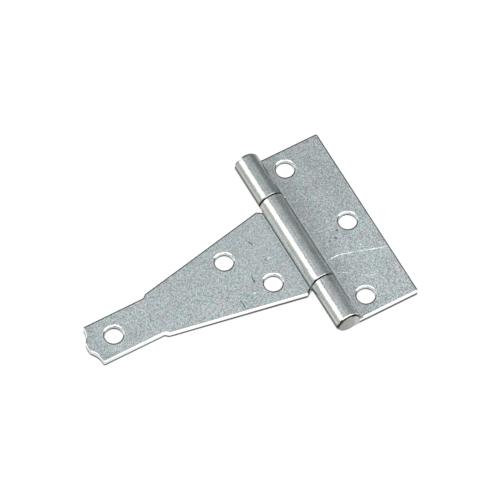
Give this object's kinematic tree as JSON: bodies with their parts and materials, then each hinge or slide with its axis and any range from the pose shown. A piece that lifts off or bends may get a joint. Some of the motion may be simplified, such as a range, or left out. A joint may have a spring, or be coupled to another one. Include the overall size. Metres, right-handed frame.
{
  "type": "tee hinge",
  "caption": "Zinc-plated tee hinge: a short pad leaf and a long tapered strap leaf with a shaped tip turn on a headed pin, and both are pierced for countersunk screws.",
  "frame": {"origin": "on the plane of the back faces, straight under the pin's axis and midway across the strap", "axes": "+X from the pin across the pad, -X along the strap to its tip, +Y along the pin, +Z out of the front faces"},
  "size_m": [0.0672, 0.045, 0.0056],
  "materials": {
    "zinc_sheet": "bright zinc plating with a fine mottled grain and light scratches",
    "zinc_pin": "bright zinc plating"
  },
  "bodies": {
    "pad": {"pad_leaf": "zinc_sheet", "hinge_pin": "zinc_pin"},
    "strap": {"strap_leaf": "zinc_sheet"}
  },
  "joints": [
    {"name": "strap_swing", "type": "hinge", "parent": "pad", "child": "strap", "pos_m": [0, 0, 0.0028], "axis": [0, 1, 0], "range_deg": [-90, 180]}
  ]
}
